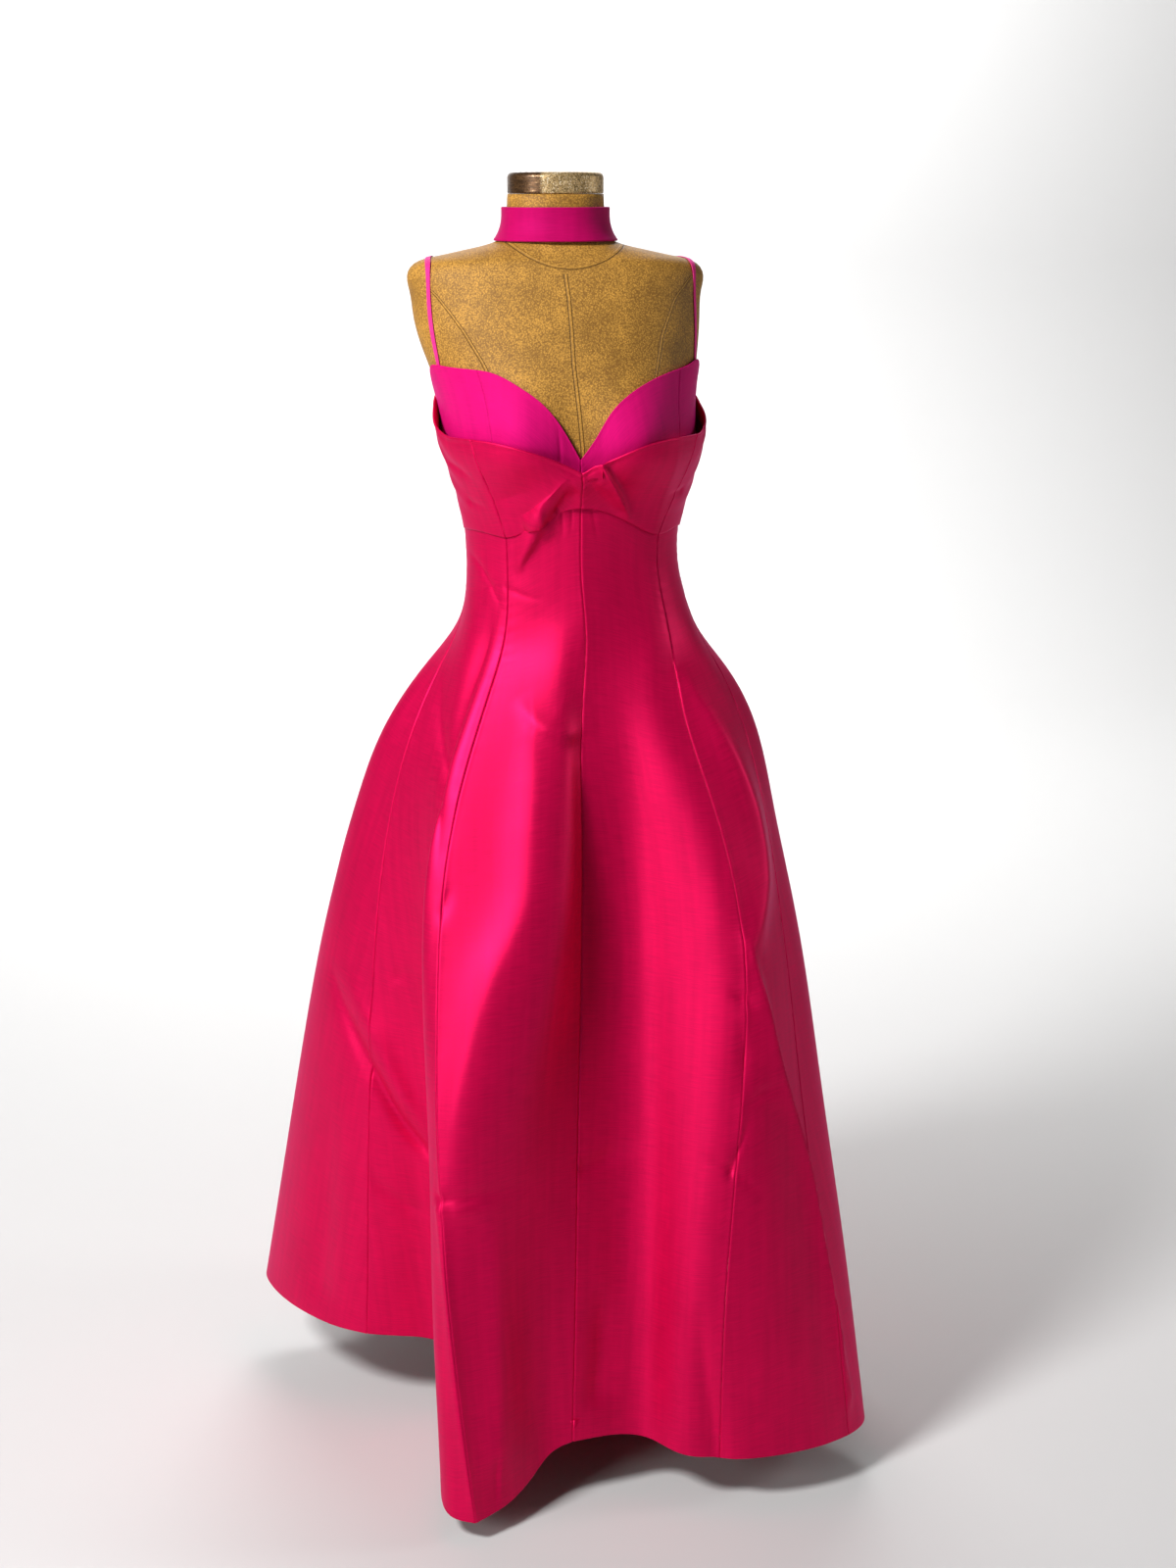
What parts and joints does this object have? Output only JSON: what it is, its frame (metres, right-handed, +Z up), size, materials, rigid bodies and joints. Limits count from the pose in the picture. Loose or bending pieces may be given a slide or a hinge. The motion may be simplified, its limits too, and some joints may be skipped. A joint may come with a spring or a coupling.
{
  "type": "sweetheart midi dress on a limbless dress form",
  "caption": "Flared midi dress with sweetheart cups, a folded outer bodice layer, thin straps and a matching neckband, standing on a limbless dress form with a round foot.",
  "frame": {"origin": "on the floor, at the centre of the underside of the stand's round foot", "axes": "+Z up, the dress faces -Y, +X towards the wearer's left"},
  "size_m": [0.6847, 0.6724, 1.4248],
  "materials": {
    "satin": "duchess satin with a soft sheen",
    "crepe": "matt satin-backed crepe",
    "leather": "waxed suede-like leather, stitched",
    "gold": "worn bronze-gold leaf",
    "steel": "satin bronze paint",
    "zip": "enamelled to match the cloth"
  },
  "bodies": {
    "dress_and_stand": {"layer_centre_left": "satin", "layer_centre_right": "satin", "layer_side_left": "satin", "layer_side_right": "satin", "skirt_front_centre_left": "satin", "skirt_front_centre_right": "satin", "skirt_front_side_left": "satin", "skirt_front_side_right": "satin", "skirt_back_centre_left": "satin", "skirt_back_centre_right": "satin", "skirt_back_side_left": "satin", "skirt_back_side_right": "satin", "cup_centre_left": "crepe", "cup_centre_right": "crepe", "cup_side_left": "crepe", "cup_side_right": "crepe", "back_bodice_left": "crepe", "back_bodice_right": "crepe", "neckband": "crepe", "strap_left": "crepe", "strap_right": "crepe", "dress_form_body": "leather", "dress_form_cap": "gold", "stand_pole": "steel", "stand_base": "steel", "back_zip_slider": "zip"},
    "zip_pull": {"back_zip_pull": "zip"}
  },
  "joints": [
    {"name": "zip_pull_hinge", "type": "hinge", "parent": "dress_and_stand", "child": "zip_pull", "pos_m": [0.01385, 0.11172, 1.15408], "axis": [1, 0, 0], "range_deg": [0, 150]}
  ]
}
